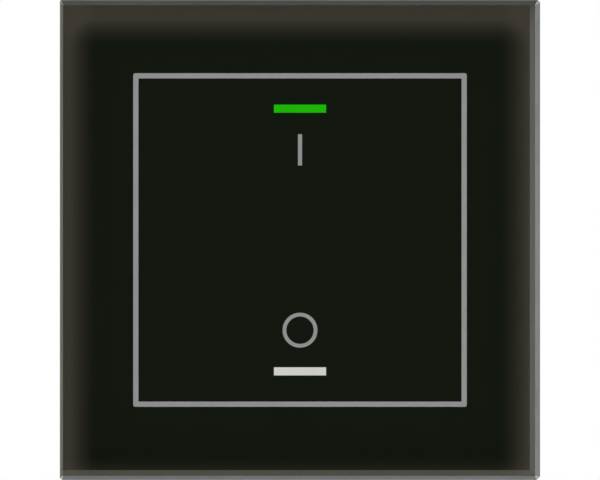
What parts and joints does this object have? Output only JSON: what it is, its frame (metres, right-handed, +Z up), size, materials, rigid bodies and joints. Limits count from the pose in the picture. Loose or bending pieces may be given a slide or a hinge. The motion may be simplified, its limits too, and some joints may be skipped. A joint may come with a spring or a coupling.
{
  "type": "touch light switch",
  "caption": "Square dark glass wall switch with touch fields for on and off, lit bars, a steel yoke and a relay module for a round wall box.",
  "frame": {"origin": "centre of the yoke's back face, in the plane of the wall, midway between the two box screws", "axes": "+Z up, +X to the right seen from the room, -Y out of the wall towards the room"},
  "size_m": [0.092, 0.036, 0.092],
  "materials": {
    "glass": "polished, ground edges",
    "dark_print": "opaque ceramic print behind glass",
    "grey_print": "grey print behind glass",
    "green_window": "translucent print, lit green",
    "white_window": "translucent print, lit white",
    "foam_tape": "black foam tape",
    "white_plastic": "moulded, fine texture",
    "grey_plastic": "moulded, flame retardant",
    "black_plastic": "moulded, satin",
    "clear_acrylic": "moulded, clear",
    "nickel_plate": "nickel plated",
    "zinc_steel": "zinc plated sheet",
    "steel_screw": "zinc plated",
    "green_laminate": "glass laminate with solder mask",
    "brass": "plain",
    "tinned_pin": "tin plated",
    "copper_wire": "enamelled winding",
    "soft_iron": "plain",
    "ferrite": "sintered",
    "led_body": "moulded, lens",
    "conductive_foam": "soft, conductive",
    "blue_epoxy": "dipped epoxy",
    "yellow_plastic": "moulded capacitor box",
    "capacitor_can": "sleeved can"
  },
  "bodies": {
    "wall_unit": {"mounting_yoke": "zinc_steel", "cover_screws": "steel_screw", "front_cover": "white_plastic", "on_light_guide": "clear_acrylic", "off_light_guide": "clear_acrylic", "on_light_shroud": "black_plastic", "off_light_shroud": "black_plastic", "touch_board": "green_laminate", "on_touch_pad": "conductive_foam", "off_touch_pad": "conductive_foam", "on_leds": "led_body", "off_leds": "led_body", "touch_chip": "black_plastic", "chip_resistors": "ferrite", "pin_header": "black_plastic", "header_pins": "tinned_pin", "header_socket": "black_plastic", "module_housing": "grey_plastic", "power_board": "green_laminate", "board_screws": "steel_screw", "terminal_block": "white_plastic", "contact_bars": "brass", "relay_case": "blue_epoxy", "relay_base": "black_plastic", "relay_pins": "tinned_pin", "relay_frame": "soft_iron", "relay_bobbin": "white_plastic", "relay_winding": "copper_wire", "relay_core": "soft_iron", "relay_fixed_contact": "brass", "fuse": "black_plastic", "varistor": "blue_epoxy", "line_capacitor": "yellow_plastic", "smoothing_capacitor": "capacitor_can", "inductor": "ferrite", "inductor_winding": "copper_wire", "transformer_base": "black_plastic", "transformer_core": "ferrite", "transformer_winding": "copper_wire", "rectifier": "black_plastic", "regulator_chip": "black_plastic"},
    "front_unit": {"glass_plate": "glass", "back_print": "dark_print", "outline_print": "grey_print", "on_symbol_print": "grey_print", "off_symbol_print": "grey_print", "on_window_print": "green_window", "off_window_print": "white_window", "adhesive_tape": "foam_tape", "glass_carrier": "black_plastic", "holding_magnets": "nickel_plate"},
    "relay_arm": {"relay_armature": "soft_iron", "relay_contact_spring": "brass", "relay_moving_contact": "nickel_plate"},
    "neutral_screw": {"neutral_clamp_screw": "steel_screw"},
    "neutral_cage": {"neutral_clamp_cage": "zinc_steel"},
    "live_screw": {"live_clamp_screw": "steel_screw"},
    "live_cage": {"live_clamp_cage": "zinc_steel"},
    "load_screw": {"load_clamp_screw": "steel_screw"},
    "load_cage": {"load_clamp_cage": "zinc_steel"}
  },
  "joints": [
    {"name": "front_release", "type": "slide", "parent": "wall_unit", "child": "front_unit", "axis": [0, -1, 0], "range_m": [0, 0.015]},
    {"name": "relay_armature_tip", "type": "hinge", "parent": "wall_unit", "child": "relay_arm", "pos_m": [-0.0178, 0.0159, 0.003], "axis": [0, 0, -1], "range_deg": [0, 3.5], "stiffness_Nm_per_rad": 0.002, "springref_deg": -2.86},
    {"name": "neutral_screw_turn", "type": "hinge", "parent": "wall_unit", "child": "neutral_screw", "pos_m": [-0.0075, 0.0178, -0.02], "axis": [0, 0, 1], "range_deg": [0, 720]},
    {"name": "neutral_cage_slide", "type": "slide", "parent": "wall_unit", "child": "neutral_cage", "axis": [0, 0, -1], "range_m": [0, 0.0014]},
    {"name": "live_screw_turn", "type": "hinge", "parent": "wall_unit", "child": "live_screw", "pos_m": [0, 0.0178, -0.02], "axis": [0, 0, 1], "range_deg": [0, 720]},
    {"name": "live_cage_slide", "type": "slide", "parent": "wall_unit", "child": "live_cage", "axis": [0, 0, -1], "range_m": [0, 0.0014]},
    {"name": "load_screw_turn", "type": "hinge", "parent": "wall_unit", "child": "load_screw", "pos_m": [0.0075, 0.0178, -0.02], "axis": [0, 0, 1], "range_deg": [0, 720]},
    {"name": "load_cage_slide", "type": "slide", "parent": "wall_unit", "child": "load_cage", "axis": [0, 0, -1], "range_m": [0, 0.0014]}
  ],
  "couplings": [
    {"joint": "neutral_screw_turn", "follows": "neutral_cage_slide", "rad_per_m": 8976},
    {"joint": "live_screw_turn", "follows": "live_cage_slide", "rad_per_m": 8976},
    {"joint": "load_screw_turn", "follows": "load_cage_slide", "rad_per_m": 8976}
  ]
}
